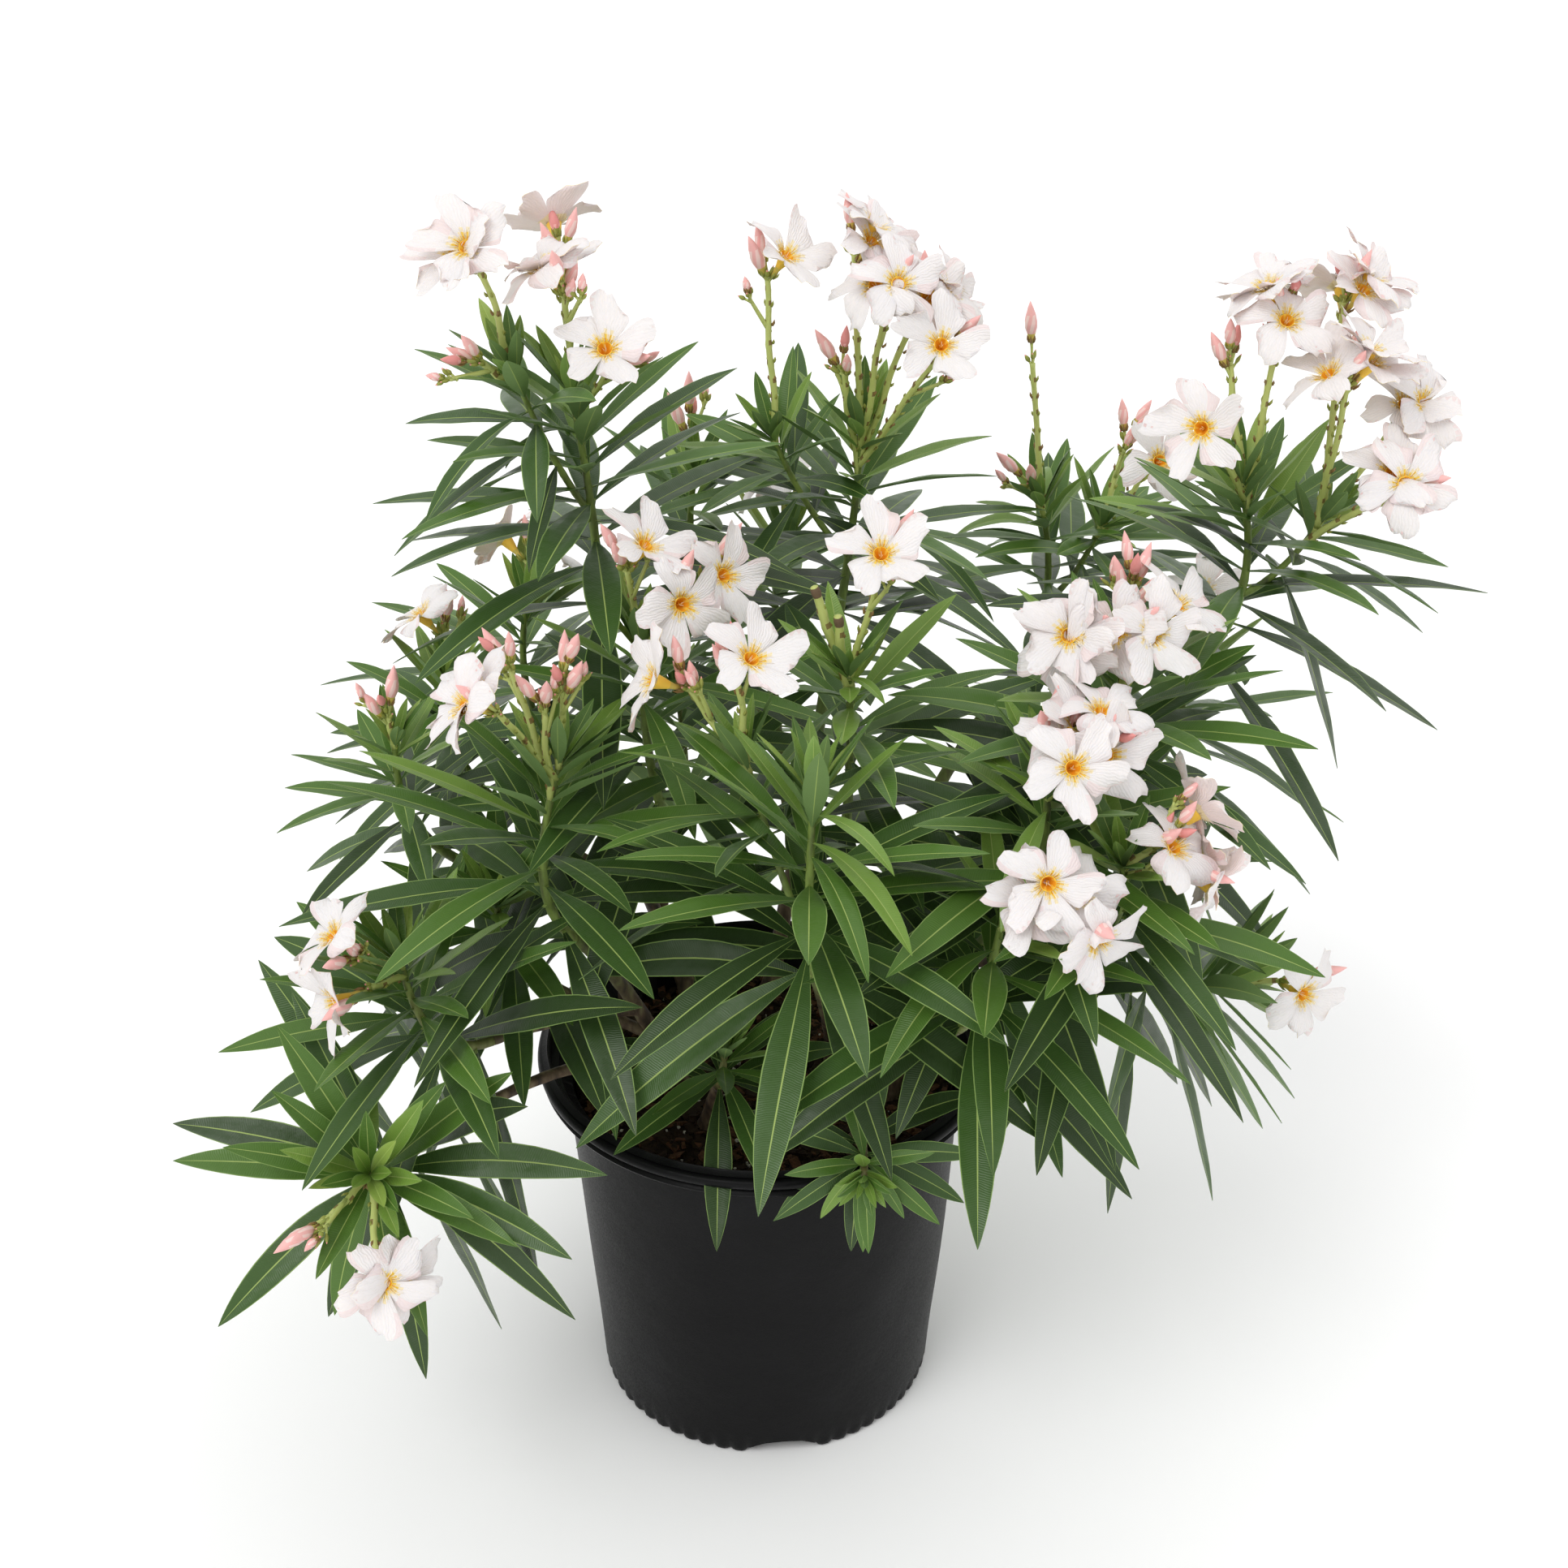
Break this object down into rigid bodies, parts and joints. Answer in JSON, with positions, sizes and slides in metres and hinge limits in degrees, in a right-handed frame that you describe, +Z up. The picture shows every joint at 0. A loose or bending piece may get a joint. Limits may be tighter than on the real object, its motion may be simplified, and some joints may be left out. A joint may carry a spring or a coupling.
{
  "type": "potted oleander",
  "caption": "Multi-stemmed flowering oleander shrub with narrow leathery leaves and pale pink blossom, growing in a round black nursery pot filled with bark soil.",
  "frame": {"origin": "centre of the flat underside of the pot, on the surface it stands on", "axes": "+Z up, -Y towards the side that faces the viewer, +X to the viewer's right"},
  "size_m": [0.7581, 0.6847, 0.7473],
  "materials": {
    "pot": "black blow-moulded plastic with a soft satin sheen",
    "soil": "dark bark and peat potting mix with pale perlite specks",
    "stem": "grey-brown bark with fine lenticels",
    "bough": "young bark turning from brown to green",
    "foliage": "leathery dark green leaves with a paler midrib",
    "petal": "thin velvety petals, white with a faint pink blush",
    "bud": "silky salmon pink buds"
  },
  "bodies": {
    "root": {"pot": "pot", "soil": "soil", "stem_front": "stem", "stem_left": "stem", "stem_back": "stem", "stem_right": "stem", "stem_right_front": "stem", "stem_left_front": "stem", "stem_centre": "stem", "stem_back_left": "stem", "stem_back_right": "stem", "stem_rim": "stem", "stem_low": "stem", "bough_left_outer": "bough", "bough_left_low": "bough", "bough_left_lowest": "bough", "bough_left_inner": "bough", "bough_centre_right": "bough", "bough_right_upper": "bough", "bough_right_lower": "bough", "bough_right_outer": "bough", "bough_right_low": "bough", "bough_back": "bough", "bough_back_top": "bough", "bough_left_back": "bough", "bough_back_low": "bough", "bough_right_back": "bough", "foliage_front": "foliage", "foliage_left_top": "foliage", "foliage_back_top": "foliage", "foliage_right_top": "foliage", "foliage_right_upper": "foliage", "foliage_right_front": "foliage", "foliage_right_lower": "foliage", "foliage_right_outer": "foliage", "foliage_right_low": "foliage", "foliage_left_front": "foliage", "foliage_left_outer": "foliage", "foliage_left_low": "foliage", "foliage_left_inner": "foliage", "foliage_left_lowest": "foliage", "foliage_centre_left": "foliage", "foliage_centre_right": "foliage", "foliage_rim": "foliage", "foliage_low": "foliage", "foliage_back_right": "foliage", "foliage_back": "foliage", "foliage_back_middle": "foliage", "foliage_back_left": "foliage", "foliage_left_back": "foliage", "foliage_back_low": "foliage", "foliage_right_back": "foliage"}
  },
  "joints": []
}
